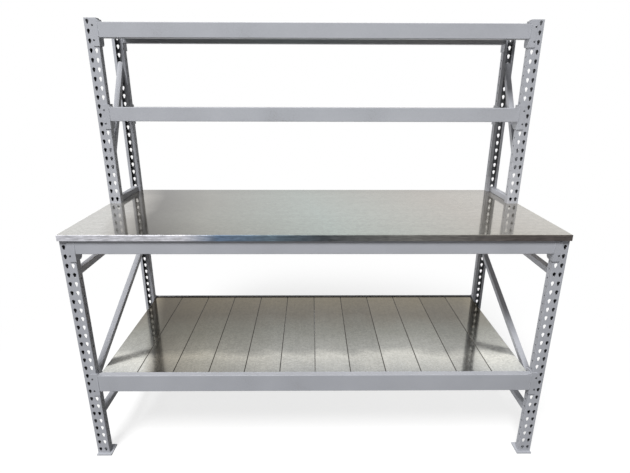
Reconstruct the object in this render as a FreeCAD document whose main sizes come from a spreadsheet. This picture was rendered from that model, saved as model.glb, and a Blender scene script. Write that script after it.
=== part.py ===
import FreeCAD, Part
import Sketcher
import math
import os

# Packing bench: a perforated post frame with a decked lower shelf, a sheet-covered worktop and a riser.
# X runs along the bench, Y from its front to its rear, Z up from the floor under its middle.

doc = FreeCAD.newDocument("bench")
sheet = doc.addObject("Spreadsheet::Sheet", "Sizes")
names = []
nodes = []
along_x = FreeCAD.Vector(1, 0, 0)
along_y = FreeCAD.Vector(0, 1, 0)
along_z = FreeCAD.Vector(0, 0, 1)
same_spot = 0.01  # millimetres within which an edge lies where it is looked for
same_way = 0.99  # cosine above which an edge runs along an axis

# Driving sizes in millimetres
driving = {
    "clear_span": 1828.8,  # between the left and right posts
    "frame_depth": 762,  # front face to rear face of the lower posts
    "riser_depth": 295,  # front face to rear face of the riser posts
    "post_width": 53,  # across a post's perforated face
    "post_depth": 32,  # perforated face to lips
    "post_gauge": 2,  # post sheet
    "post_bend": 3,  # outside radius of a post's folds
    "post_end": 4,  # riser post above the top connector
    "foot_side": 63.5,  # square foot plate, flush with its post outside and with the worktop in front
    "foot_thickness": 5,  # foot plate
    "hole_pitch": 38.1,  # one hole up to the next
    "first_hole": 20.3,  # end of a post up to its lowest hole
    "column_spacing": 23,  # between the two columns of holes
    "teardrop_top_radius": 6.5,  # wide end of a hole
    "teardrop_tip_radius": 3.2,  # narrow end of a hole
    "teardrop_run": 10,  # between the two arc centres of a hole
    "slot_radius": 3,  # half the width of a side slot
    "slot_run": 3,  # between the two arc centres of a slot
    "lower_shelf_hole": 8,  # hole that carries the lower shelf, counted from 0
    "worktop_hole": 24,  # hole that carries the worktop beams
    "mid_shelf_hole": 9,  # riser hole that carries the middle shelf
    "top_shelf_hole": 18,  # riser hole that carries the top shelf
    "heavy_beam_height": 78,  # lower shelf beams
    "light_beam_height": 61,  # worktop and riser beams
    "nose_depth": 27,  # top of a beam, front to back
    "ledge_depth": 18,  # step behind it that carries a deck
    "step_drop": 30,  # top of a beam down to the step
    "rear_lip": 7,  # lip behind the lower deck, above the deck
    "beam_gauge": 1.8,  # beam sheet
    "beam_bend": 2.5,  # outside radius of a beam's folds
    "connector_gauge": 3,  # angle connector sheet
    "plate_cover": 24,  # connector plate across the post's face
    "plate_round": 4,  # outer corners of the plate
    "plate_margin": 10,  # plate above its upper hole
    "flange_reach": 45,  # connector flange along the post's side
    "flange_round": 14,  # lower rear corner of the flange
    "heavy_rise": 7.5,  # connector above a lower shelf beam
    "light_rise": 12,  # connector above a riser beam
    "worktop_cut": 14,  # worktop connector cut short, flush with its beam
    "web_reach": 21,  # corner web along the top of the beam
    "web_sag": 0.35,  # how far the corner web stays out at its waist
    "hook_rise": 20,  # connector's lower end up to its first hole
    "hook_height": 8,  # hook tongue
    "hook_lip": 5,  # hook below the tongue, behind the post's face
    "hook_gauge": 2.5,  # hook behind the post's face
    "hook_fit": 0.3,  # between the hook and the post's face
    "rivet_low": 24,  # connector's lower end up to the first rivet
    "rivet_spacing": 58,  # first rivet up to the second
    "rivet_inset": 18.5,  # post's inner side to the rivets
    "rivet_head_radius": 4,  # rivet head
    "rivet_head_height": 1.8,  # rivet head
    "rivet_crown": 0.6,  # flat share of the head
    "rivet_shank_radius": 2.5,  # rivet shank
    "rivet_fit": 0.1,  # between the shank and its hole
    "brace_width": 25,  # both ways across a brace
    "brace_gauge": 2,  # brace wall
    "brace_bend": 2,  # outside radius of a brace's corners
    "front_insert": 14,  # brace end inside a front post's lips
    "rear_insert": 6,  # brace end inside a rear post's lips
    "low_brace_rise": 193,  # post's lower end up to the low brace
    "high_brace_drop": 151,  # worktop's underside down to the high brace
    "lower_foot_rise": 161.9,  # low brace up to the diagonal's front end
    "lower_head_drop": 130.5,  # high brace down to the diagonal's rear end
    "riser_high_drop": 45,  # post's top down to the riser's high brace
    "riser_foot_rise": 167.2,  # the same for the riser's diagonal
    "riser_head_drop": 139,  # the same for the riser's diagonal
    "worktop_thickness": 19,  # board and skin together
    "worktop_overhang": 12,  # worktop in front of the posts
    "skin_gauge": 1.2,  # worktop sheet
    "skin_bend": 2,  # outside radius of the worktop's edges
    "front_fold": 5,  # worktop sheet folded down past the board at the front
    "deck_recess": 10,  # top of a beam down to its deck
    "deck_gauge": 1.2,  # deck sheet
    "deck_bend": 2,  # outside radius of a deck's folds
    "deck_lip": 10,  # turned-in edge that sits on the beam's step
    "deck_fit": 1,  # between a deck and what stands around it
    "panel_gap": 0.5,  # between two deck panels
    "panel_count": 12,  # panels in the lower deck
}

# Sizes that follow from them
following = {
    "half_depth": "frame_depth / 2",
    "riser_middle": "( frame_depth - riser_depth ) / 2",
    "post_centre": "( clear_span + post_width ) / 2",
    "post_lip": "( post_width - brace_width ) / 2",
    "hook_inset": "( post_width - column_spacing ) / 2",
    "hook_width": "1.5 * teardrop_tip_radius",
    "hole_top": "( teardrop_run - teardrop_top_radius + teardrop_tip_radius ) / 2",
    "hole_tip": "hole_top - teardrop_run",
    "hook_seat": "hook_rise + hole_tip - teardrop_tip_radius / 2",
    "beam_length": "clear_span - 2 * connector_gauge",
    "nose_back": "nose_depth - connector_gauge",
    "ledge_back": "nose_back + ledge_depth",
    "connector_height": "hook_rise + 2 * hole_pitch + plate_margin",
    "worktop_rest": "connector_height - hook_rise - worktop_cut",
    "light_seat": "connector_height - hook_rise - light_rise",
    "heavy_seat": "connector_height - hook_rise - heavy_rise",
    "lower_shelf_top": "foot_thickness + first_hole + lower_shelf_hole * hole_pitch + heavy_seat",
    "worktop_seat": "foot_thickness + first_hole + worktop_hole * hole_pitch + worktop_rest",
    "worktop_top": "worktop_seat + worktop_thickness",
    "mid_shelf_top": "worktop_top + first_hole + mid_shelf_hole * hole_pitch + light_seat",
    "top_shelf_top": "worktop_top + first_hole + top_shelf_hole * hole_pitch + light_seat",
    "lower_post_height": "worktop_seat - foot_thickness",
    "riser_post_height": "top_shelf_top + light_rise + post_end - worktop_top",
    "hole_room": "first_hole + hole_top + teardrop_top_radius",
    "lower_hole_count": "floor(( lower_post_height - hole_room ) / hole_pitch) + 1",
    "riser_hole_count": "floor(( riser_post_height - hole_room ) / hole_pitch) + 1",
    "front_setback": "post_depth - front_insert",
    "rear_setback": "post_depth - rear_insert",
    "brace_shift": "( front_setback - rear_setback ) / 2",
    "lower_run": "frame_depth - front_setback - rear_setback",
    "riser_run": "riser_depth - front_setback - rear_setback",
    "lower_low_brace": "foot_thickness + low_brace_rise",
    "lower_high_brace": "worktop_seat - high_brace_drop",
    "lower_foot": "lower_low_brace + lower_foot_rise",
    "lower_head": "lower_high_brace - lower_head_drop",
    "lower_climb": "lower_head - lower_foot",
    "riser_low_brace": "worktop_top + brace_width / 2",
    "riser_high_brace": "worktop_top + riser_post_height - riser_high_drop",
    "riser_foot": "riser_low_brace + riser_foot_rise",
    "riser_head": "riser_high_brace - riser_head_drop",
    "riser_climb": "riser_head - riser_foot",
    "worktop_width": "clear_span + 2 * post_width",
    "worktop_depth": "frame_depth + worktop_overhang",
    "worktop_front": "half_depth + worktop_overhang",
    "deck_height": "step_drop - deck_recess",
    "deck_length": "frame_depth - nose_back - 2 * deck_fit",
    "panel_pitch": "( beam_length - 2 * deck_fit ) / panel_count",
    "panel_width": "panel_pitch - panel_gap",
    "pan_width": "riser_depth - nose_back - 2 * deck_fit",
    "pan_length": "beam_length - 2 * deck_fit",
    "deck_shift": "nose_back / 2",
}

for name in list(driving) + list(following):
    names.append(name)
    cell = "B%d" % len(names)
    text = str(driving[name]) if name in driving else "=" + following[name]
    sheet.set("A%d" % len(names), name)
    sheet.set(cell, text)
    sheet.setAlias(cell, name)
doc.recompute()


def formula(text):
    return " ".join("Sizes." + word if word in names else word for word in text.split(" "))


def value(text):
    return float(sheet.evalExpression(formula(text)))


def bind(thing, field, text):
    thing.setExpression(field, formula(text))


def place(thing, across, along, up):
    bind(thing, "Placement.Base.x", across)
    bind(thing, "Placement.Base.y", along)
    bind(thing, "Placement.Base.z", up)


def draw(body, role, offset):
    plane = [item for item in body.Origin.OriginFeatures if item.Role == role][0]
    sketch = body.newObject("Sketcher::SketchObject", "Drawing")
    sketch.AttachmentSupport = [(plane, "")]
    sketch.MapMode = "FlatFace"
    bind(sketch, "AttachmentOffset.Base.z", offset)
    return sketch


def hold(sketch, edge, end, across, up):
    for kind, axis, text in (("DistanceX", -2, across), ("DistanceY", -1, up)):
        if text == "0":
            sketch.addConstraint(Sketcher.Constraint("PointOnObject", edge, end, axis))
        else:
            number = sketch.addConstraint(Sketcher.Constraint(kind, -1, 1, edge, end, value(text)))
            bind(sketch, "Constraints[%d]" % number, text)


def outline(sketch, corners):
    first = sketch.GeometryCount
    count = len(corners)
    points = [FreeCAD.Vector(value(across), value(up), 0) for across, up in corners]
    for number in range(count):
        sketch.addGeometry(Part.LineSegment(points[number], points[(number + 1) % count]))
    for number in range(count):
        after = first + (number + 1) % count
        sketch.addConstraint(Sketcher.Constraint("Coincident", first + number, 2, after, 1))
        hold(sketch, first + number, 1, corners[number][0], corners[number][1])


def ring(sketch, across, up, radius):
    middle = FreeCAD.Vector(value(across), value(up), 0)
    circle = sketch.addGeometry(Part.Circle(middle, FreeCAD.Vector(0, 0, 1), value(radius)))
    hold(sketch, circle, 3, across, up)
    number = sketch.addConstraint(Sketcher.Constraint("Radius", circle, value(radius)))
    bind(sketch, "Constraints[%d]" % number, radius)


def arc(sketch, across, up, radius, start, finish):
    middle = FreeCAD.Vector(value(across), value(up), 0)
    circle = Part.Circle(middle, FreeCAD.Vector(0, 0, 1), value(radius))
    curve = sketch.addGeometry(Part.ArcOfCircle(circle, start, finish))
    hold(sketch, curve, 3, across, up)
    number = sketch.addConstraint(Sketcher.Constraint("Radius", curve, value(radius)))
    bind(sketch, "Constraints[%d]" % number, radius)
    return curve


def upright_hole(sketch, across, top, top_radius, foot, foot_radius):
    lean = math.asin((value(top_radius) - value(foot_radius)) / (value(top) - value(foot)))
    over = arc(sketch, across, top, top_radius, -lean, math.pi + lean)
    under = arc(sketch, across, foot, foot_radius, math.pi + lean, 2 * math.pi - lean)
    left = [sketch.Geometry[over].EndPoint, sketch.Geometry[under].StartPoint]
    right = [sketch.Geometry[under].EndPoint, sketch.Geometry[over].StartPoint]
    down = sketch.addGeometry(Part.LineSegment(left[0], left[1]))
    back = sketch.addGeometry(Part.LineSegment(right[0], right[1]))
    for one, other in ((over, down), (down, under), (under, back), (back, over)):
        sketch.addConstraint(Sketcher.Constraint("Tangent", one, 2, other, 1))


def pad(body, sketch, length, side):
    solid = body.newObject("PartDesign::Pad", "Pad")
    solid.Profile = sketch
    bind(solid, "Length", length)
    solid.SideType = side
    return solid


def cut(body, sketch, depth, backwards):
    pocket = body.newObject("PartDesign::Pocket", "Cut")
    pocket.Profile = sketch
    bind(pocket, "Length", depth)
    pocket.Reversed = backwards
    return pocket


def cut_through(body, sketch):
    pocket = body.newObject("PartDesign::Pocket", "Cut")
    pocket.Profile = sketch
    pocket.Type = "ThroughAll"
    pocket.SideType = "Symmetric"
    return pocket


def repeat_up(body, feature, sketch, step, count):
    row = body.newObject("PartDesign::LinearPattern", "Row")
    row.Originals = [feature]
    row.Direction = (sketch, ["V_Axis"])
    row.Mode = "Spacing"
    bind(row, "Offset", step)
    bind(row, "Occurrences", count)
    body.Tip = row
    return row


def bend(body, solid, radius, wanted):
    doc.recompute()
    edges = ["Edge%d" % (number + 1) for number, edge in enumerate(solid.Shape.Edges) if wanted(edge)]
    fold = body.newObject("PartDesign::Fillet", "Bend")
    fold.Base = (solid, edges)
    bind(fold, "Radius", radius)
    return fold


def is_near(spot, places):
    return min(abs(spot - place) for place in places) < same_spot


def on_box_corner(edge, box):
    middle = edge.CenterOfMass
    sides = [(middle.x, box.XMin, box.XMax), (middle.y, box.YMin, box.YMax), (middle.z, box.ZMin, box.ZMax)]
    return sum(1 for spot, low, high in sides if is_near(spot, [low, high])) == 2


def bend_corners(body, solid, radius, axis):
    doc.recompute()
    box = solid.Shape.BoundBox
    return bend(body, solid, radius, lambda edge: on_box_corner(edge, box)
                and abs(edge.tangentAt(edge.FirstParameter).dot(axis)) > same_way)


def lipped(sketch, half, depth, gauge, lip, way):
    near = "%s - %s" % (half, gauge)
    inner = "%s - %s" % (half, lip)
    far = "%s * %s" % (way, depth)
    deep = "%s * ( %s - %s )" % (way, depth, gauge)
    shallow = "%s * %s" % (way, gauge)
    right = [(half, "0"), (half, far), (inner, far), (inner, deep), (near, deep), (near, shallow)]
    left = [("-1 * ( %s )" % across, up) for across, up in reversed(right)]
    outline(sketch, right + left)


def mirrored(source, label, normal, plane):
    copy = doc.addObject("Part::Mirroring", label)
    copy.Source = source
    copy.Normal = normal
    bind(copy, "Base.y", plane)
    return copy


def group(label, members):
    together = doc.addObject("Part::Compound", label)
    together.Links = members
    return together


def four_corners(label, source, plane):
    source.Label = label + "_front_left"
    right = mirrored(source, label + "_front_right", along_x, plane)
    rear = mirrored(source, label + "_rear_left", along_y, plane)
    far = mirrored(right, label + "_rear_right", along_y, plane)
    nodes.extend([source, right, rear, far])


# Posts: lipped channels, their face to the outside, with two columns of teardrop holes and a row of side slots
def post(height, hole_count):
    body = doc.addObject("PartDesign::Body", "post")
    section = draw(body, "XY_Plane", "0")
    lipped(section, "post_width / 2", "post_depth", "post_gauge", "post_lip", "1")
    channel = pad(body, section, height, "One side")
    folded = bend_corners(body, channel, "post_bend", along_z)
    face = draw(body, "XZ_Plane", "0")
    for side in ("column_spacing / 2", "column_spacing / -2"):
        upright_hole(face, side, "first_hole + hole_top", "teardrop_top_radius",
                     "first_hole + hole_tip", "teardrop_tip_radius")
    holes = cut(body, face, "2 * post_gauge", False)
    repeat_up(body, holes, face, "hole_pitch", hole_count)
    wall = draw(body, "YZ_Plane", "0")
    upright_hole(wall, "post_depth / 2", "first_hole + ( hole_pitch + slot_run ) / 2", "slot_radius",
                 "first_hole + ( hole_pitch - slot_run ) / 2", "slot_radius")
    slots = cut_through(body, wall)
    repeat_up(body, slots, wall, "hole_pitch", hole_count + " - 1")
    return body


lower_post = post("lower_post_height", "lower_hole_count")
place(lower_post, "-1 * post_centre", "-1 * half_depth", "foot_thickness")
four_corners("lower_post", lower_post, "0")

riser_post = post("riser_post_height", "riser_hole_count")
place(riser_post, "-1 * post_centre", "riser_middle - riser_depth / 2", "worktop_top")
four_corners("riser_post", riser_post, "riser_middle")

foot = doc.addObject("Part::Box", "foot")
bind(foot, "Length", "foot_side")
bind(foot, "Width", "foot_side")
bind(foot, "Height", "foot_thickness")
place(foot, "-1 * post_centre - post_width / 2", "-1 * worktop_front", "0")
four_corners("foot_plate", foot, "0")


# Beams: closed step sections, their top at Z 0 and the posts' face at Y 0
def beam(label, height):
    body = doc.addObject("PartDesign::Body", label)
    section = draw(body, "YZ_Plane", "0")
    low = "-1 * " + height
    step = "-1 * step_drop"
    front = "-1 * connector_gauge"
    outline(section, [(front, "0"), ("nose_back", "0"), ("nose_back", step), ("ledge_back", step),
                      ("ledge_back", low), (front, low)])
    near = front + " + beam_gauge"
    nose = "nose_back - beam_gauge"
    back = "ledge_back - beam_gauge"
    roof = "-1 * beam_gauge"
    floor = low + " + beam_gauge"
    outline(section, [(near, roof), (nose, roof), (nose, step + " - beam_gauge"),
                      (back, step + " - beam_gauge"), (back, floor), (near, floor)])
    tube = pad(body, section, "beam_length", "Symmetric")
    folded = bend_corners(body, tube, "beam_bend", along_x)
    nose_y = value("nose_back")
    bend(body, folded, "beam_bend", lambda edge: abs(edge.CenterOfMass.y - nose_y) < same_spot
         and abs(edge.CenterOfMass.z) < same_spot and abs(edge.CenterOfMass.x) < same_spot)
    return body


# Rear shelf beams: closed boxes up to the height of the step, with the decks running over them to a thin lip
def plain_beam(label, height, lip):
    body = doc.addObject("PartDesign::Body", label)
    section = draw(body, "YZ_Plane", "0")
    low = "-1 * " + height
    step = "-1 * step_drop"
    front = "-1 * connector_gauge"
    near = front + " + beam_gauge"
    back = "ledge_back - beam_gauge"
    upstand = [(front, lip), (near, lip), (near, step)] if lip else [(front, step)]
    outline(section, upstand + [("ledge_back", step), ("ledge_back", low), (front, low)])
    roof = step + " - beam_gauge"
    floor = low + " + beam_gauge"
    outline(section, [(near, roof), (back, roof), (back, floor), (near, floor)])
    tube = pad(body, section, "beam_length", "Symmetric")
    walls = [value(front), value("ledge_back")]
    levels = [value(step), value(low)]
    bend(body, tube, "beam_bend", lambda edge: abs(edge.CenterOfMass.x) < same_spot
         and is_near(edge.CenterOfMass.y, walls) and is_near(edge.CenterOfMass.z, levels))
    return body


# Connectors: an angle around the post's inner front corner with two hooks, its Z 0 at the top of the beam
def connector(label, top, foot, hook_step, webbed):
    body = doc.addObject("PartDesign::Body", label)
    outer = "-1 * plate_cover"
    inner = "connector_gauge"
    shape = draw(body, "XZ_Plane", "0")
    web = []
    if webbed:
        waist = (inner + " + web_sag * web_reach", "web_sag * " + top)
        web = [(inner, "0"), (inner + " + web_reach", "0"), waist]
    outline(shape, [(outer, foot), (inner, foot)] + web + [(inner, top), (outer, top)])
    plate = pad(body, shape, "connector_gauge", "One side")
    edge_x = value(outer)
    rounded = bend(body, plate, "plate_round", lambda edge: abs(edge.CenterOfMass.x - edge_x) < same_spot
                   and abs(edge.tangentAt(edge.FirstParameter).dot(along_y)) > same_way)
    side = draw(body, "YZ_Plane", "0")
    outline(side, [("0", foot), ("flange_reach", foot), ("flange_reach", top), ("0", top)])
    flange = pad(body, side, "connector_gauge", "One side")
    far_y = value("flange_reach")
    foot_z = value(foot)
    turned = bend(body, flange, "flange_round", lambda edge: abs(edge.CenterOfMass.y - far_y) < same_spot
                  and abs(edge.CenterOfMass.z - foot_z) < same_spot)
    tongue = draw(body, "YZ_Plane", "-1 * hook_inset")
    seat = foot + " + hook_seat"
    crest = seat + " + hook_height"
    wall = "post_gauge + hook_fit"
    tail = wall + " + hook_gauge"
    outline(tongue, [("0", seat), (wall, seat), (wall, seat + " - hook_lip"), (tail, seat + " - hook_lip"),
                     (tail, crest), ("0", crest)])
    hook = pad(body, tongue, "hook_width", "Symmetric")
    repeat_up(body, hook, tongue, hook_step, "2")
    drill = draw(body, "XZ_Plane", "0")
    for up in (foot + " + rivet_low", foot + " + rivet_low + rivet_spacing"):
        ring(drill, "-1 * rivet_inset", up, "rivet_shank_radius + rivet_fit")
    body.Tip = cut_through(body, drill)
    return body


# Rivets: shank through the connector's plate, head in front of it
def rivet(label):
    body = doc.addObject("PartDesign::Body", label)
    half = draw(body, "XY_Plane", "0")
    under = "-1 * connector_gauge"
    crown = under + " - rivet_head_height"
    rim = under + " - rivet_head_height * ( 1 - rivet_crown )"
    outline(half, [("0", "0"), ("rivet_shank_radius", "0"), ("rivet_shank_radius", under),
                   ("rivet_head_radius", under), ("rivet_head_radius", rim),
                   ("rivet_head_radius * rivet_crown", crown), ("0", crown)])
    turned = body.newObject("PartDesign::Revolution", "Turned")
    turned.Profile = half
    turned.ReferenceAxis = (half, ["V_Axis"])
    return body


def connector_pair(label, top, foot, hook_step, webbed, front, level):
    left = connector(label + "_left", top, foot, hook_step, webbed)
    place(left, "clear_span / -2", front, level)
    right = mirrored(left, label + "_right", along_x, "0")
    return group(label, [left, right])


def beam_level(label, height, level, top, foot, hook_step, front, plane, lip):
    carries_deck = top != "0"
    span = beam(label + "_beam_front", height)
    place(span, "0", front, level)
    pair = connector_pair(label + "_connectors_front", top, foot, hook_step, carries_deck, front, level)
    rear_span = span
    rear_pair = pair
    if carries_deck:
        rear_span = plain_beam(label + "_plain_beam", height, lip)
        place(rear_span, "0", front, level)
        rear_pair = connector_pair(label + "_plain_connectors", "0", foot, hook_step, False, front, level)
    nodes.extend([span, pair])
    nodes.append(mirrored(rear_span, label + "_beam_rear", along_y, plane))
    nodes.append(mirrored(rear_pair, label + "_connectors_rear", along_y, plane))
    pins = []
    for up in (foot + " + rivet_low", foot + " + rivet_low + rivet_spacing"):
        pin = rivet(label + "_rivet")
        place(pin, "clear_span / -2 - rivet_inset", front, level + " + " + up)
        pins.append(pin)
    return pins


def rivet_set(label, pins, plane):
    left = group(label + "_left", pins)
    right = mirrored(left, label + "_right", along_x, "0")
    front = group(label + "_front", [left, right])
    rear = mirrored(front, label + "_rear", along_y, plane)
    nodes.append(group(label, [front, rear]))


heavy_foot = "heavy_rise - connector_height"
worktop_foot = "worktop_cut - connector_height"
light_foot = "light_rise - connector_height"
riser_front = "riser_middle - riser_depth / 2"
lower_pins = beam_level("lower_shelf", "heavy_beam_height", "lower_shelf_top", "heavy_rise", heavy_foot,
                        "2 * hole_pitch", "-1 * half_depth", "0", "rear_lip - deck_recess")
lower_pins += beam_level("worktop", "light_beam_height", "worktop_seat", "0", worktop_foot,
                         "hole_pitch", "-1 * half_depth", "0", "")
rivet_set("lower_rivets", lower_pins, "0")
riser_pins = beam_level("mid_shelf", "light_beam_height", "mid_shelf_top", "light_rise", light_foot,
                        "2 * hole_pitch", riser_front, "riser_middle", "")
riser_pins += beam_level("top_shelf", "light_beam_height", "top_shelf_top", "light_rise", light_foot,
                         "2 * hole_pitch", riser_front, "riser_middle", "")
rivet_set("riser_rivets", riser_pins, "riser_middle")


# Braces: square tubes whose open ends stand between the lips of a front and a rear post
def level_brace(label, run, middle, up):
    body = doc.addObject("PartDesign::Body", label + "_left")
    section = draw(body, "XZ_Plane", "0")
    for high in ("brace_width / 2", "brace_width / 2 - brace_gauge"):
        low = "-1 * ( %s )" % high
        outline(section, [(high, low), (high, high), (low, high), (low, low)])
    tube = pad(body, section, run, "Symmetric")
    bend_corners(body, tube, "brace_bend", along_y)
    place(body, "-1 * post_centre", middle, up)
    right = mirrored(body, label + "_right", along_x, "0")
    nodes.extend([body, right])


def slanted(sketch, run, climb, height):
    half = "( %s ) * sqrt(1 + ( %s / %s ) ^ 2) / 2" % (height, climb, run)
    front = "%s / -2" % run
    rear = "%s / 2" % run
    low = "%s / -2" % climb
    high = "%s / 2" % climb
    outline(sketch, [(front, "%s - %s" % (low, half)), (rear, "%s - %s" % (high, half)),
                     (rear, "%s + %s" % (high, half)), (front, "%s + %s" % (low, half))])


def diagonal_brace(label, run, climb, middle, up):
    body = doc.addObject("PartDesign::Body", label)
    side = draw(body, "YZ_Plane", "0")
    slanted(side, run, climb, "brace_width")
    bar = pad(body, side, "brace_width", "Symmetric")
    walls = [value("brace_width / 2"), value("brace_width / -2")]
    bend(body, bar, "brace_bend", lambda edge: is_near(edge.CenterOfMass.x, walls)
         and abs(edge.CenterOfMass.y) < same_spot)
    bore = draw(body, "YZ_Plane", "brace_width / -2 + brace_gauge")
    slanted(bore, run, climb, "brace_width - 2 * brace_gauge")
    body.Tip = cut(body, bore, "brace_width - 2 * brace_gauge", True)
    place(body, "-1 * post_centre", middle, up)
    return body


riser_shift = "riser_middle + brace_shift"
level_brace("lower_low_brace", "lower_run", "brace_shift", "lower_low_brace")
level_brace("lower_high_brace", "lower_run", "brace_shift", "lower_high_brace")
level_brace("riser_low_brace", "riser_run", riser_shift, "riser_low_brace")
level_brace("riser_high_brace", "riser_run", riser_shift, "riser_high_brace")

lower_middle = "( lower_foot + lower_head ) / 2"
lower_slant = diagonal_brace("lower_diagonal_left", "lower_run", "lower_climb", "brace_shift", lower_middle)
one_hole_lower = lower_middle + " - hole_pitch"
lower_twin = diagonal_brace("lower_diagonal_twin", "lower_run", "lower_climb", "brace_shift", one_hole_lower)
nodes.extend([lower_slant, mirrored(lower_twin, "lower_diagonal_right", along_x, "0")])
riser_mid_height = "( riser_foot + riser_head ) / 2"
riser_slant = diagonal_brace("riser_diagonal_left", "riser_run", "riser_climb", riser_shift, riser_mid_height)
nodes.extend([riser_slant, mirrored(riser_slant, "riser_diagonal_right", along_x, "0")])

# Worktop: a board with a sheet folded over its top and edges
board = doc.addObject("Part::Box", "worktop_board")
bind(board, "Length", "worktop_width - 2 * skin_gauge")
bind(board, "Width", "worktop_depth - 2 * skin_gauge")
bind(board, "Height", "worktop_thickness - skin_gauge")
place(board, "worktop_width / -2 + skin_gauge", "-1 * worktop_front + skin_gauge", "worktop_seat")

skin = doc.addObject("PartDesign::Body", "worktop_skin")
top = draw(skin, "XY_Plane", "0")
wide = "worktop_width / 2"
narrow = "worktop_width / -2"
outline(top, [(narrow, "-1 * worktop_front"), (wide, "-1 * worktop_front"),
              (wide, "half_depth"), (narrow, "half_depth")])
sheet_block = pad(skin, top, "worktop_thickness", "One side")
sheet_top = value("worktop_thickness")
bend(skin, sheet_block, "skin_bend", lambda edge: abs(edge.CenterOfMass.z - sheet_top) < same_spot)
hollow = draw(skin, "XY_Plane", "0")
outline(hollow, [(narrow + " + skin_gauge", "-1 * worktop_front + skin_gauge"),
                 (wide + " - skin_gauge", "-1 * worktop_front + skin_gauge"),
                 (wide + " - skin_gauge", "half_depth - skin_gauge"),
                 (narrow + " + skin_gauge", "half_depth - skin_gauge")])
cut(skin, hollow, "worktop_thickness - skin_gauge", True)
fold = draw(skin, "XY_Plane", "0")
outline(fold, [(narrow, "-1 * worktop_front"), (wide, "-1 * worktop_front"),
               (wide, "-1 * worktop_front + skin_gauge"), (narrow, "-1 * worktop_front + skin_gauge")])
skin.Tip = pad(skin, fold, "front_fold", "One side")
skin.Tip.Reversed = True
place(skin, "0", "0", "worktop_seat")
nodes.extend([board, skin])


# Decks: folded sheet with turned-in edges, dropped behind the front nose onto its step and over the rear beam
def deck(label, role, half, length, axis):
    body = doc.addObject("PartDesign::Body", label)
    section = draw(body, role, "0")
    lipped(section, half, "deck_height", "deck_gauge", "deck_lip", "-1")
    folded = pad(body, section, length, "Symmetric")
    bend_corners(body, folded, "deck_bend", axis)
    nodes.append(body)
    return body


for number in range(int(value("panel_count"))):
    label = "lower_deck_panel_%02d" % (number + 1)
    panel = deck(label, "XZ_Plane", "panel_width / 2", "deck_length", along_y)
    shift = "panel_pitch * ( %d + ( 1 - panel_count ) / 2 )" % number
    place(panel, shift, "deck_shift", "lower_shelf_top - deck_recess")

mid_pan = deck("mid_shelf_deck", "YZ_Plane", "pan_width / 2", "pan_length", along_x)
place(mid_pan, "0", "riser_middle + deck_shift", "mid_shelf_top - deck_recess")
top_pan = deck("top_shelf_deck", "YZ_Plane", "pan_width / 2", "pan_length", along_x)
place(top_pan, "0", "riser_middle + deck_shift", "top_shelf_top - deck_recess")

doc.recompute()
for item in doc.Objects:
    if "Invalid" in item.State or "Error" in item.State:
        raise RuntimeError("%s did not build" % item.Label)
os.makedirs("parts", exist_ok=True)
for node in nodes:
    if node.Shape.isNull() or not node.Shape.isValid():
        raise RuntimeError("%s has no valid shape" % node.Label)
    node.Shape.exportStep("parts/%s.step" % node.Label)
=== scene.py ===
import math
import bmesh
import bpy
import numpy as np
from mathutils import Matrix, Vector


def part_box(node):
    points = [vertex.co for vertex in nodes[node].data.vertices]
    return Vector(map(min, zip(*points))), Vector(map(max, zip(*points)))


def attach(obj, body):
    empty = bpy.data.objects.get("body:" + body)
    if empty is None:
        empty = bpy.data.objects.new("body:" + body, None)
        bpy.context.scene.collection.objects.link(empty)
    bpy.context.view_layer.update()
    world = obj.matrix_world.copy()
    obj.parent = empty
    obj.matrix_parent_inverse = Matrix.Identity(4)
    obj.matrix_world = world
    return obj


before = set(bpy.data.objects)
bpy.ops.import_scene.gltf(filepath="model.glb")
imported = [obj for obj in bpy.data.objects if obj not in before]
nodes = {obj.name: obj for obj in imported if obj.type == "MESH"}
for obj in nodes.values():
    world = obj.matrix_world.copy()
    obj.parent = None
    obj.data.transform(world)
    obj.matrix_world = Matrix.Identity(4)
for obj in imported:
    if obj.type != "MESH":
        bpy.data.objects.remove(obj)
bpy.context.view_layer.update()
mm = 0.001
white = (1, 1, 1, 1)
usualNoise = (0.3, 0.7)  # nearly all values of a noise texture lie between these
usualGrain = (0.25, 0.75)  # and those of streaks mixed with spangle between these

# A Mix node's sockets go by number, because its numbers and colours have the same names
mixShare, numberA, numberB, colourA, colourB = 0, 2, 3, 6, 7
mixedNumber, mixedColour = 0, 2
blendNumbers = {"data_type": "FLOAT"}
blendColours = {"data_type": "RGBA"}
multiplyColours = {"data_type": "RGBA", "blend_type": "MULTIPLY"}
print("frame loaded:", len(nodes), "nodes")


def linear(code):  # sRGB hex to the linear colour that Blender's sockets take
    parts = [int(code[i:i + 2], 16) / 255 for i in (1, 3, 5)]
    return [c / 12.92 if c <= 0.04045 else ((c + 0.055) / 1.055) ** 2.4 for c in parts] + [1.0]


def perMetre(size):  # a pattern's scale from its real size in mm
    return 1 / (size * mm)


def addNode(tree, kind, settings=None, links=None):  # inputs are given as values or as sockets
    node = tree.nodes.new(kind)
    for name, value in (settings or {}).items():
        setattr(node, name, value)
    for name, value in (links or {}).items():
        socket = node.inputs[name]
        if isinstance(value, bpy.types.NodeSocket):
            tree.links.new(value, socket)
        else:
            socket.default_value = value
    return node


def newMaterial(name):
    material = bpy.data.materials.new(name)
    material.use_nodes = True
    tree = material.node_tree
    tree.nodes.clear()
    place = addNode(tree, "ShaderNodeTexCoord").outputs["Object"]
    return material, tree, place


def finishMaterial(tree, shader):
    addNode(tree, "ShaderNodeOutputMaterial", links={"Surface": shader.outputs["BSDF"]})


def rampStops(ramp, stops):  # spots along the ramp with hex colours, two stops are already there
    elements = ramp.color_ramp.elements
    while len(elements) < len(stops):
        elements.new(0.5)
    for element, (spot, code) in zip(elements, stops):
        element.position = spot
        element.color = linear(code)


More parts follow.
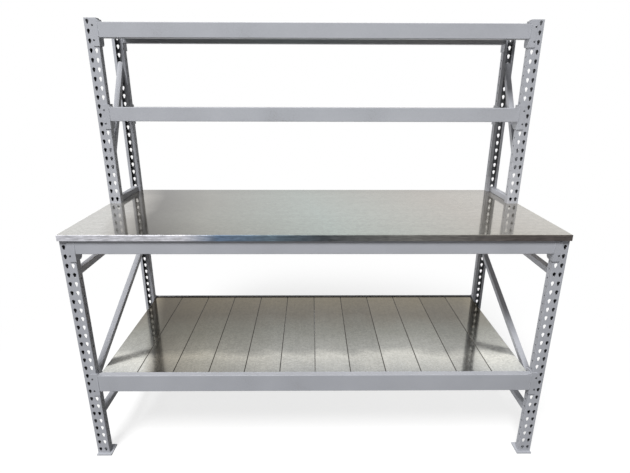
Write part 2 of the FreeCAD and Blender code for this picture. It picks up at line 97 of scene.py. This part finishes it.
# Epoxy powder coat, sprayed and baked on folded steel: light grey with a faint lavender cast,
# a fine orange peel that breaks up the highlights, flecks where the powder lay unevenly, and
# painted shade that darkens it in folds, channels and hollows
powderCoat = {
    "tones": [(0.31, "#85827F"), (0.37, "#A1A3A9"), (0.5, "#A7A9AF"), (0.66, "#ADAFB5")],
    "fleck": 3.0,  # mm, drawn coarser than the real 1 mm grain so that it shows
    "cloud": 160.0,  # mm
    "cloudShare": 0.4,
    "peel": 2.2,  # mm
    "peelDepth": 0.5,  # mm
    "peelStrength": 0.06,
    "recess": 70.0,  # mm, within which the walls of a fold or channel shut a spot in
    "openness": (0.3, 0.75),  # of the spots with the most painted shade and with none
    "thin": 0.22,  # share of the colour left in the most shut-in spots: painted shade
    "roughness": (0.36, 0.5),
    "ior": 1.5,
    "specular": 0.14,
}


def makePowderCoat(name, look):
    material, tree, place = newMaterial(name)
    fleck = addNode(tree, "ShaderNodeTexNoise", {}, {
        "Vector": place, "Scale": perMetre(look["fleck"]), "Detail": 3.0, "Roughness": 0.65})
    cloud = addNode(tree, "ShaderNodeTexNoise", {}, {
        "Vector": place, "Scale": perMetre(look["cloud"]), "Detail": 2.0})
    both = addNode(tree, "ShaderNodeMix", blendNumbers, {
        mixShare: look["cloudShare"],
        numberA: fleck.outputs["Fac"], numberB: cloud.outputs["Fac"]})
    tone = addNode(tree, "ShaderNodeValToRGB", {}, {"Fac": both.outputs[mixedNumber]})
    rampStops(tone, look["tones"])
    # Painted shade: the colour is darkened wherever fold and channel walls stand close, as inside
    # the posts and under the beams
    shutIn = addNode(tree, "ShaderNodeAmbientOcclusion", {"samples": 6, "only_local": True}, {
        "Distance": look["recess"] * mm})
    recessShade = addNode(tree, "ShaderNodeMapRange", {}, {
        "Value": shutIn.outputs["AO"], "To Min": look["thin"],
        "From Min": look["openness"][0], "From Max": look["openness"][1]})
    coat = addNode(tree, "ShaderNodeMix", multiplyColours, {
        mixShare: 1.0, colourA: tone.outputs["Color"], colourB: recessShade.outputs["Result"]})
    gloss = addNode(tree, "ShaderNodeMapRange", {}, {
        "Value": cloud.outputs["Fac"],
        "To Min": look["roughness"][0], "To Max": look["roughness"][1]})
    peel = addNode(tree, "ShaderNodeTexNoise", {}, {
        "Vector": place, "Scale": perMetre(look["peel"]), "Detail": 1.0})
    bump = addNode(tree, "ShaderNodeBump", {}, {
        "Height": peel.outputs["Fac"],
        "Strength": look["peelStrength"], "Distance": look["peelDepth"] * mm})
    finishMaterial(tree, addNode(tree, "ShaderNodeBsdfPrincipled", {}, {
        "Base Color": coat.outputs[mixedColour], "Roughness": gloss.outputs["Result"],
        "Normal": bump.outputs["Normal"],
        "IOR": look["ior"], "Specular IOR Level": look["specular"]}))
    return material


# Hot-dip galvanised sheet: zinc that froze in flat crystals and was then rolled bright, so it
# mirrors what stands on it almost clearly, with faint spangle and streaks along the rolling; the
# tones across each sheet are painted reflection and painted shade, not the zinc's own colour
deckZinc = {
    "across": ("Y", -381.0, 381.0),  # mm, the tones run from the front to the rear of the deck
    # painted reflection and shade: bright at the front, brown and dark towards the rear under the
    # worktop
    "tones": [
        (0.04, "#B4B5B2"), (0.2, "#CDCCC5"), (0.275, "#A4A49F"),
        (0.49, "#8E8E87"), (0.72, "#79746A"), (0.97, "#807867")],
    "lean": 0.0,
    "wander": 30.0,  # mm, how far a blotchy noise pushes those painted tones about
    "blotch": 170.0,  # mm
    "spangle": 8.0,  # mm
    "crystalShare": 0.45,  # of spangle in the grain, the rest is streaks
    "streak": (7.0, 300.0, 7.0),  # mm, rolled from front to rear
    "panel": 151.73,  # mm from one panel to the next, each cut from another sheet
    "panelShare": 0.3,  # of each panel's own tone in the grain
    "seam": (1.38, 2.76),  # mm from a panel's edge, where the dirt starts to thin out and ends
    "dirt": "#4E4A43",
    "dullSpan": ("X", -830.0, -170.0),  # mm, the left part is darker
    "dullLean": 0.24,  # mm outwards for every mm to the rear
    "dull": [  # what that leaves of the tones, from the first to the last place of dullSpan
        (0.0, "#FFFFFF"), (0.1, "#BCB6AD"), (0.4, "#E0DCD4"), (1.0, "#FFFFFF")],
    "brightEnd": (755.0, 815.0, 1.3),  # mm from the middle, and how much lighter the ends are
    "mottle": 0.1,
    "roughness": (0.07, 0.14),
    "metallic": 0.85,  # the rest is dull oxide
    "dentDepth": 1.0,  # mm
    "dentStrength": 0.05,
}
topZinc = {
    "across": ("X", -967.4, 967.4),  # mm, the tones run from the left to the right end
    # painted reflections of what stands around and above the top, lighter and darker from left to
    # right
    "tones": [
        (0.03, "#C0BFBB"), (0.08, "#9A968F"), (0.13, "#4A463E"), (0.25, "#86867E"),
        (0.5, "#9CA6A0"), (0.82, "#AAA59C"), (0.98, "#B4B0A8")],
    "lean": 0.22,  # mm to the left for every mm to the rear
    "wander": 22.0,  # mm
    "blotch": 320.0,  # mm
    "spangle": 12.0,  # mm
    "crystalShare": 0.45,
    "streak": (600.0, 30.0, 6.0),  # mm, rolled from end to end, drawn coarse so that it shows
    "dullSpan": ("Y", 390.0, -100.0),  # mm, painted shade darkens the rear of the top
    "dullLean": 0.0,
    "dull": [(0.0, "#EAE8E5"), (1.0, "#FFFFFF")],
    "mottle": 0.055,
    "roughness": (0.06, 0.11),
    "metallic": 0.72,
    "dentDepth": 1.0,  # mm
    "dentStrength": 0.05,
    "edge": (-392.9, -390.9),  # mm, depth at which the front edge is folded down
    # painted reflection along the folded front edge, dark and bluish
    "edgeTones": [
        (0.2, "#BCBCC2"), (0.26, "#5A6C82"), (0.36, "#55646F"),
        (0.47, "#3C4044"), (0.64, "#646360"), (0.86, "#4B4543")],
    "scuffed": (-390.5, -387.0),  # mm, depth over which the sheet gets smooth again
    "scuffRoughness": 0.38,
    "scrape": (45.0, 8.0, 3.5),  # mm, what goods dragged over the edge leave on it
    "scrapeNoise": (0.35, 0.65),
    "scrapeTone": (0.68, 1.36),
}


def edgeReflectionAndScrapes(tree, place, depth, along, look, colour):  # the folded front edge: painted reflection along it, with scrapes
    folded = addNode(tree, "ShaderNodeMapRange", {}, {
        "Value": depth, "From Min": look["edge"][0] * mm, "From Max": look["edge"][1] * mm})
    edgeReflection = addNode(tree, "ShaderNodeValToRGB", {}, {"Fac": along})
    rampStops(edgeReflection, look["edgeTones"])
    drawn = addNode(tree, "ShaderNodeMapping", {}, {
        "Vector": place, "Scale": [perMetre(size) for size in look["scrape"]]})
    scrape = addNode(tree, "ShaderNodeTexNoise", {}, {
        "Vector": drawn.outputs["Vector"], "Scale": 1.0, "Detail": 3.0, "Roughness": 0.6})
    worn = addNode(tree, "ShaderNodeMapRange", {}, {
        "Value": scrape.outputs["Fac"],
        "From Min": look["scrapeNoise"][0], "From Max": look["scrapeNoise"][1],
        "To Min": look["scrapeTone"][0], "To Max": look["scrapeTone"][1]})
    scraped = addNode(tree, "ShaderNodeMix", multiplyColours, {
        mixShare: 1.0, colourA: edgeReflection.outputs["Color"], colourB: worn.outputs["Result"]})
    edged = addNode(tree, "ShaderNodeMix", blendColours, {
        mixShare: folded.outputs["Result"],
        colourA: scraped.outputs[mixedColour], colourB: colour})
    return edged.outputs[mixedColour]


def panelled(tree, spot, look, grain, colour):  # a tone for each panel, and dirt in the seams
    number = addNode(tree, "ShaderNodeMath", {"operation": "DIVIDE"}, {
        0: spot["X"], 1: look["panel"] * mm}).outputs["Value"]
    whole = addNode(tree, "ShaderNodeMath", {"operation": "FLOOR"}, {0: number})
    chance = addNode(tree, "ShaderNodeTexWhiteNoise", {"noise_dimensions": "1D"}, {
        "W": whole.outputs["Value"]})
    toned = addNode(tree, "ShaderNodeMix", blendNumbers, {
        mixShare: look["panelShare"], numberA: grain, numberB: chance.outputs["Value"]})
    beside = addNode(tree, "ShaderNodeMath", {"operation": "PINGPONG"}, {
        0: number, 1: 0.5})  # 0 at a seam, 0.5 in the middle of a panel
    start, end = look["seam"]
    clean = addNode(tree, "ShaderNodeMapRange", {}, {
        "Value": beside.outputs["Value"],
        "From Min": start / look["panel"], "From Max": end / look["panel"]})
    seamed = addNode(tree, "ShaderNodeMix", blendColours, {
        mixShare: clean.outputs["Result"], colourA: linear(look["dirt"]), colourB: colour})
    return toned.outputs[mixedNumber], seamed.outputs[mixedColour]


def darkenedPart(tree, spot, look, colour):  # one part of a sheet is made darker: painted shade at the rear of the top, the left part of the deck
    side, far, near = look["dullSpan"]
    fanned = addNode(tree, "ShaderNodeMath", {"operation": "MULTIPLY_ADD"}, {
        0: spot["Y"], 1: look["dullLean"], 2: spot[side]})
    acrossSpan = addNode(tree, "ShaderNodeMapRange", {}, {
        "Value": fanned.outputs["Value"], "From Min": far * mm, "From Max": near * mm})
    darkening = addNode(tree, "ShaderNodeValToRGB", {}, {"Fac": acrossSpan.outputs["Result"]})
    rampStops(darkening, look["dull"])
    darkenedColour = addNode(tree, "ShaderNodeMix", multiplyColours, {
        mixShare: 1.0, colourA: colour, colourB: darkening.outputs["Color"]})
    return darkenedColour.outputs[mixedColour]


def brightEnded(tree, spot, look, colour):  # the outermost panels are lighter
    start, full, gain = look["brightEnd"]
    aside = addNode(tree, "ShaderNodeMath", {"operation": "ABSOLUTE"}, {0: spot["X"]})
    outward = addNode(tree, "ShaderNodeMath", {"operation": "MULTIPLY_ADD"}, {
        0: spot["Y"], 1: -look["dullLean"], 2: aside.outputs["Value"]})
    lift = addNode(tree, "ShaderNodeMapRange", {}, {
        "Value": outward.outputs["Value"], "From Min": start * mm, "From Max": full * mm,
        "To Min": 1.0, "To Max": gain})
    lifted = addNode(tree, "ShaderNodeMix", multiplyColours, {
        mixShare: 1.0, colourA: colour, colourB: lift.outputs["Result"]})
    return lifted.outputs[mixedColour]


def makeGalvanised(name, look):
    material, tree, place = newMaterial(name)
    spot = addNode(tree, "ShaderNodeSeparateXYZ", {}, {"Vector": place}).outputs
    crystal = addNode(tree, "ShaderNodeTexVoronoi", {"feature": "F1"}, {
        "Vector": place, "Scale": perMetre(look["spangle"])})
    facet = addNode(tree, "ShaderNodeSeparateColor", {}, {"Color": crystal.outputs["Color"]})
    stretched = addNode(tree, "ShaderNodeMapping", {}, {
        "Vector": place, "Scale": [perMetre(size) for size in look["streak"]]})
    streak = addNode(tree, "ShaderNodeTexNoise", {}, {
        "Vector": stretched.outputs["Vector"], "Scale": 1.0, "Detail": 4.0, "Roughness": 0.6})
    blotch = addNode(tree, "ShaderNodeTexNoise", {}, {
        "Vector": place, "Scale": perMetre(look["blotch"]), "Detail": 4.0})
    push = addNode(tree, "ShaderNodeMapRange", {}, {
        "Value": blotch.outputs["Fac"], "From Min": usualNoise[0], "From Max": usualNoise[1],
        "To Min": -look["wander"] * mm, "To Max": look["wander"] * mm})
    leant = addNode(tree, "ShaderNodeMath", {"operation": "MULTIPLY_ADD"}, {
        0: spot["Y"], 1: look["lean"], 2: push.outputs["Result"]})
    axis, low, high = look["across"]
    moved = addNode(tree, "ShaderNodeMath", {"operation": "ADD"}, {
        0: spot[axis], 1: leant.outputs["Value"]})
    along = addNode(tree, "ShaderNodeMapRange", {}, {
        "Value": moved.outputs["Value"], "From Min": low * mm, "From Max": high * mm})
    # Painted reflection and shade: a ramp of tones across the sheet
    paintedReflection = addNode(tree, "ShaderNodeValToRGB", {}, {"Fac": along.outputs["Result"]})
    rampStops(paintedReflection, look["tones"])
    colour = paintedReflection.outputs["Color"]
    grain = addNode(tree, "ShaderNodeMix", blendNumbers, {
        mixShare: look["crystalShare"],
        numberA: streak.outputs["Fac"], numberB: facet.outputs["Red"]}).outputs[mixedNumber]
    if "edge" in look:
        colour = edgeReflectionAndScrapes(tree, place, spot["Y"], along.outputs["Result"], look, colour)
    if "panel" in look:
        grain, colour = panelled(tree, spot, look, grain, colour)
    colour = darkenedPart(tree, spot, look, colour)
    if "brightEnd" in look:
        colour = brightEnded(tree, spot, look, colour)
    shade = addNode(tree, "ShaderNodeMapRange", {}, {
        "Value": grain, "From Min": usualGrain[0], "From Max": usualGrain[1],
        "To Min": 1 - 2 * look["mottle"], "To Max": 1 + look["mottle"]})
    mottled = addNode(tree, "ShaderNodeMix", multiplyColours, {
        mixShare: 1.0, colourA: colour, colourB: shade.outputs["Result"]})
    rough = addNode(tree, "ShaderNodeMapRange", {}, {
        "Value": grain, "From Min": usualNoise[0], "From Max": usualNoise[1],
        "To Min": look["roughness"][0], "To Max": look["roughness"][1]}).outputs["Result"]
    if "edge" in look:
        smooth = addNode(tree, "ShaderNodeMapRange", {}, {
            "Value": spot["Y"],
            "From Min": look["scuffed"][0] * mm, "From Max": look["scuffed"][1] * mm})
        rough = addNode(tree, "ShaderNodeMix", blendNumbers, {
            mixShare: smooth.outputs["Result"],
            numberA: look["scuffRoughness"], numberB: rough}).outputs[mixedNumber]
    bump = addNode(tree, "ShaderNodeBump", {}, {
        "Height": blotch.outputs["Fac"],
        "Strength": look["dentStrength"], "Distance": look["dentDepth"] * mm})
    finishMaterial(tree, addNode(tree, "ShaderNodeBsdfPrincipled", {}, {
        "Base Color": mottled.outputs[mixedColour], "Roughness": rough,
        "Normal": bump.outputs["Normal"], "Metallic": look["metallic"]}))
    return material


# Dark plated rivet steel: cold-headed and tumbled, with small scratches, and made near black as
# painted shade round each rivet head
plating = {
    "tones": [(0.35, "#3A3B3E"), (0.65, "#5C5D60")],
    "scratch": 3.0,  # mm
    "roughness": 0.38,
    "metallic": 1.0,
}


def makePlating(name, look):
    material, tree, place = newMaterial(name)
    scratch = addNode(tree, "ShaderNodeTexNoise", {}, {
        "Vector": place, "Scale": perMetre(look["scratch"]), "Detail": 4.0})
    tone = addNode(tree, "ShaderNodeValToRGB", {}, {"Fac": scratch.outputs["Fac"]})
    rampStops(tone, look["tones"])
    finishMaterial(tree, addNode(tree, "ShaderNodeBsdfPrincipled", {}, {
        "Base Color": tone.outputs["Color"],
        "Metallic": look["metallic"], "Roughness": look["roughness"]}))
    return material


# Particle board: pressed wood chips under a sanded face, mid brown with pale and dark chips
chipBoard = {
    "tones": [(0.1, "#80623F"), (0.5, "#A98A62"), (0.9, "#C6A87C")],
    "chip": 7.0,  # mm
    "chipDepth": 0.4,  # mm
    "chipStrength": 0.15,
    "roughness": 0.75,
}


def makeChipBoard(name, look):
    material, tree, place = newMaterial(name)
    chip = addNode(tree, "ShaderNodeTexVoronoi", {}, {
        "Vector": place, "Scale": perMetre(look["chip"])})
    shade = addNode(tree, "ShaderNodeSeparateColor", {}, {"Color": chip.outputs["Color"]})
    tone = addNode(tree, "ShaderNodeValToRGB", {}, {"Fac": shade.outputs["Red"]})
    rampStops(tone, look["tones"])
    bump = addNode(tree, "ShaderNodeBump", {}, {
        "Height": chip.outputs["Distance"],
        "Strength": look["chipStrength"], "Distance": look["chipDepth"] * mm})
    finishMaterial(tree, addNode(tree, "ShaderNodeBsdfPrincipled", {}, {
        "Base Color": tone.outputs["Color"], "Roughness": look["roughness"],
        "Normal": bump.outputs["Normal"]}))
    return material


paint = makePowderCoat("grey powder coat", powderCoat)
deckSheet = makeGalvanised("galvanised deck sheet", deckZinc)
topSheet = makeGalvanised("galvanised top sheet", topZinc)
rivetSteel = makePlating("plated rivet steel", plating)
board = makeChipBoard("particle board", chipBoard)


def dress(node, material):
    slots = nodes[node].data.materials
    slots.clear()
    slots.append(material)


for name in nodes:
    if "rivets" in name:
        dress(name, rivetSteel)
    elif name == "worktop_board":
        dress(name, board)
    elif name == "worktop_skin" or name.endswith("shelf_deck"):
        dress(name, topSheet)
    elif "deck_panel" in name:
        dress(name, deckSheet)
    else:
        dress(name, paint)
print("materials assigned")

# Weld beads, painted over, that join the end of every beam to its connector
weld = {
    "width": 4.5,  # mm
    "rise": 1.3,  # mm out of the face
    "sunk": 0.2,  # share of the rise below the face
    "ripple": 0.14,  # share by which it swells
    "pitch": 3.4,  # mm, one ripple to the next
    "ringsPerRipple": 5,
    "around": 12,  # points in a ring
    "taper": 2.0,  # mm over which it thins out at either end
    "tip": 0.3,  # share of its thickness at the very end
    "clear": 2.5,  # mm left free at the beam's folds
}


def weldBead(joinX, faceY, outward, low, high):
    # a flat ring carried up the joint: half the width times cosine across, the rise times sine
    # out of the face, both swelling with a cosine along the way and shrinking at the two ends
    length = high - low
    pitch = weld["pitch"] * mm
    along = np.linspace(0, length, int(length / pitch * weld["ringsPerRipple"]))
    turn = np.linspace(0, 2 * np.pi, weld["around"], endpoint=False)
    swell = 1 + weld["ripple"] * np.cos(2 * np.pi * along / pitch)
    toEnd = np.minimum(along, length - along)
    swell *= np.clip(toEnd / (weld["taper"] * mm), weld["tip"], 1)
    x = joinX + np.outer(swell, np.cos(turn)) * weld["width"] / 2 * mm
    bulge = np.maximum(np.sin(turn), -weld["sunk"])
    y = faceY + outward * np.outer(swell, bulge) * weld["rise"] * mm
    z = np.repeat((low + along)[:, None], weld["around"], axis=1)
    return np.stack([x, y, z], axis=2)


def ringFaces(rings, around, first):
    # quads between neighbouring rings and one face at either end
    row, column = np.meshgrid(np.arange(rings - 1), np.arange(around), indexing="ij")
    after = (column + 1) % around
    lower, upper = row * around, (row + 1) * around
    quads = np.stack([lower + column, lower + after, upper + after, upper + column], axis=2)
    caps = [first + np.arange(around), first + (rings - 1) * around + np.arange(around)]
    return (first + quads.reshape(-1, 4)).tolist() + [cap.tolist() for cap in caps]


weldPoints, weldFaces, weldCount = [], [], 0
for name in nodes:
    if "_beam_" in name:
        low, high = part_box(name)
        front = name.endswith("front")
        faceY, outward = (low[1], -1) if front else (high[1], 1)
        clear = weld["clear"] * mm
        for joinX in (low[0], high[0]):
            bead = weldBead(joinX, faceY, outward, low[2] + clear, high[2] - clear)
            weldPoints.append(bead.reshape(-1, 3))
            weldFaces += ringFaces(len(bead), weld["around"], weldCount)
            weldCount += bead.shape[0] * bead.shape[1]
weldMesh = bpy.data.meshes.new("beamWelds")
weldMesh.from_pydata(np.concatenate(weldPoints).tolist(), [], weldFaces)
shell = bmesh.new()
shell.from_mesh(weldMesh)
bmesh.ops.recalc_face_normals(shell, faces=shell.faces)
shell.to_mesh(weldMesh)
shell.free()
weldMesh.polygons.foreach_set("use_smooth", np.ones(len(weldMesh.polygons), dtype=bool))
weldMesh.materials.append(paint)
beamWelds = bpy.data.objects.new("beamWelds", weldMesh)
bpy.context.collection.objects.link(beamWelds)
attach(beamWelds, "frame")
print("weld beads:", len(weldPoints))

# Stage: a pale floor that runs out into white, one soft lamp overhead, and weaker lamps in front,
# behind and at the right
stage = {
    "floorSize": 30.0,  # m
    "floorDrop": 0.5,  # mm under the foot plates
    "floor": "#646464",  # what it throws back at the bench
    "whiteFrom": 1.0,  # m from the middle, where the floor starts to run out
    "whiteTo": 2.2,  # m
    "shadow": 0.25,  # how much of the shadow the floor keeps
    "lamps": {  # W, m across, place in m, and whether bare metal shows it
        "overhead": (2600.0, 4.5, (-3.0, -7.5, 12.4), True),
        "front": (220.0, 5.0, (-3.6, -11.4, 4.5), False),
        "rear": (740.0, 2.0, (-3.2, 8.5, 0.9), False),
        "right": (12.0, 1.2, (2.8, 0.4, 1.1), False),
    },
    "aim": (0, 0, 0.8),  # m
    "fill": 0.06,
}

bpy.ops.mesh.primitive_plane_add(
    size=stage["floorSize"], location=(0, 0, -stage["floorDrop"] * mm))
floor = bpy.context.object
floor.name = "floor"
floorMaterial, floorTree, floorPlace = newMaterial("pale floor")
path = addNode(floorTree, "ShaderNodeLightPath").outputs
seen = addNode(floorTree, "ShaderNodeMath", {"operation": "MAXIMUM"}, {
    0: path["Is Camera Ray"], 1: path["Is Glossy Ray"]})
away = addNode(floorTree, "ShaderNodeVectorMath", {"operation": "LENGTH"}, {0: floorPlace})
kept = addNode(floorTree, "ShaderNodeMapRange", {"interpolation_type": "SMOOTHSTEP"}, {
    "Value": away.outputs["Value"],
    "From Min": stage["whiteFrom"], "From Max": stage["whiteTo"],
    "To Min": 1 - stage["shadow"], "To Max": 1.0})
matte = addNode(floorTree, "ShaderNodeBsdfDiffuse", {}, {"Color": linear(stage["floor"])})
shaded = addNode(floorTree, "ShaderNodeBsdfDiffuse", {}, {"Color": white})
bright = addNode(floorTree, "ShaderNodeEmission", {}, {"Color": white, "Strength": 1.0})
blended = addNode(floorTree, "ShaderNodeMixShader", {}, {
    0: kept.outputs["Result"], 1: shaded.outputs["BSDF"], 2: bright.outputs["Emission"]})
shown = addNode(floorTree, "ShaderNodeMixShader", {}, {
    0: seen.outputs["Value"], 1: matte.outputs["BSDF"], 2: blended.outputs["Shader"]})
addNode(floorTree, "ShaderNodeOutputMaterial", links={"Surface": shown.outputs["Shader"]})
floor.data.materials.append(floorMaterial)

world = bpy.data.worlds.new("studio")
world.use_nodes = True
bpy.context.scene.world = world
sky = world.node_tree
sky.nodes.clear()
rays = addNode(sky, "ShaderNodeLightPath").outputs
direct = addNode(sky, "ShaderNodeMath", {"operation": "MAXIMUM"}, {
    0: rays["Is Camera Ray"], 1: rays["Is Glossy Ray"]})
plain = addNode(sky, "ShaderNodeMath", {"operation": "MAXIMUM"}, {
    0: direct.outputs["Value"], 1: rays["Is Transmission Ray"]})
level = addNode(sky, "ShaderNodeMapRange", {}, {
    "Value": plain.outputs["Value"], "To Min": stage["fill"], "To Max": 1.0})
back = addNode(sky, "ShaderNodeBackground", {}, {
    "Color": white, "Strength": level.outputs["Result"]})
addNode(sky, "ShaderNodeOutputWorld", links={"Surface": back.outputs["Background"]})

for lampName, (power, across, spot, mirrored) in stage["lamps"].items():
    lampData = bpy.data.lights.new(lampName, "AREA")
    lampData.size = across
    lampData.energy = power
    lamp = bpy.data.objects.new(lampName, lampData)
    lamp.location = spot
    lamp.visible_glossy = mirrored
    lamp.visible_camera = False
    towards = Vector(stage["aim"]) - Vector(spot)
    lamp.rotation_euler = towards.to_track_quat("-Z", "Y").to_euler()
    bpy.context.collection.objects.link(lamp)

# Camera: in front of the bench at eye height, fitted to the post edges and holes in the photograph
view = {
    "place": (-0.0184, -1.9892, 1.5584),  # m
    "tilt": 71.531,  # degrees
    "turn": -0.558,
    "roll": 0.16,
    "lens": 25.726,  # mm
    "sensor": 36.0,  # mm
}
cameraData = bpy.data.cameras.new("camera")
cameraData.sensor_fit = "HORIZONTAL"
cameraData.sensor_width = view["sensor"]
cameraData.lens = view["lens"]
camera = bpy.data.objects.new("camera", cameraData)
turned = Matrix.Rotation(math.radians(view["turn"]), 4, "Z")
tilted = Matrix.Rotation(math.radians(view["tilt"]), 4, "X")
rolled = Matrix.Rotation(math.radians(view["roll"]), 4, "Z")
camera.matrix_world = Matrix.Translation(view["place"]) @ turned @ tilted @ rolled
bpy.context.collection.objects.link(camera)
bpy.context.scene.camera = camera
bpy.context.scene.view_settings.view_transform = "Standard"
print("stage and camera set")
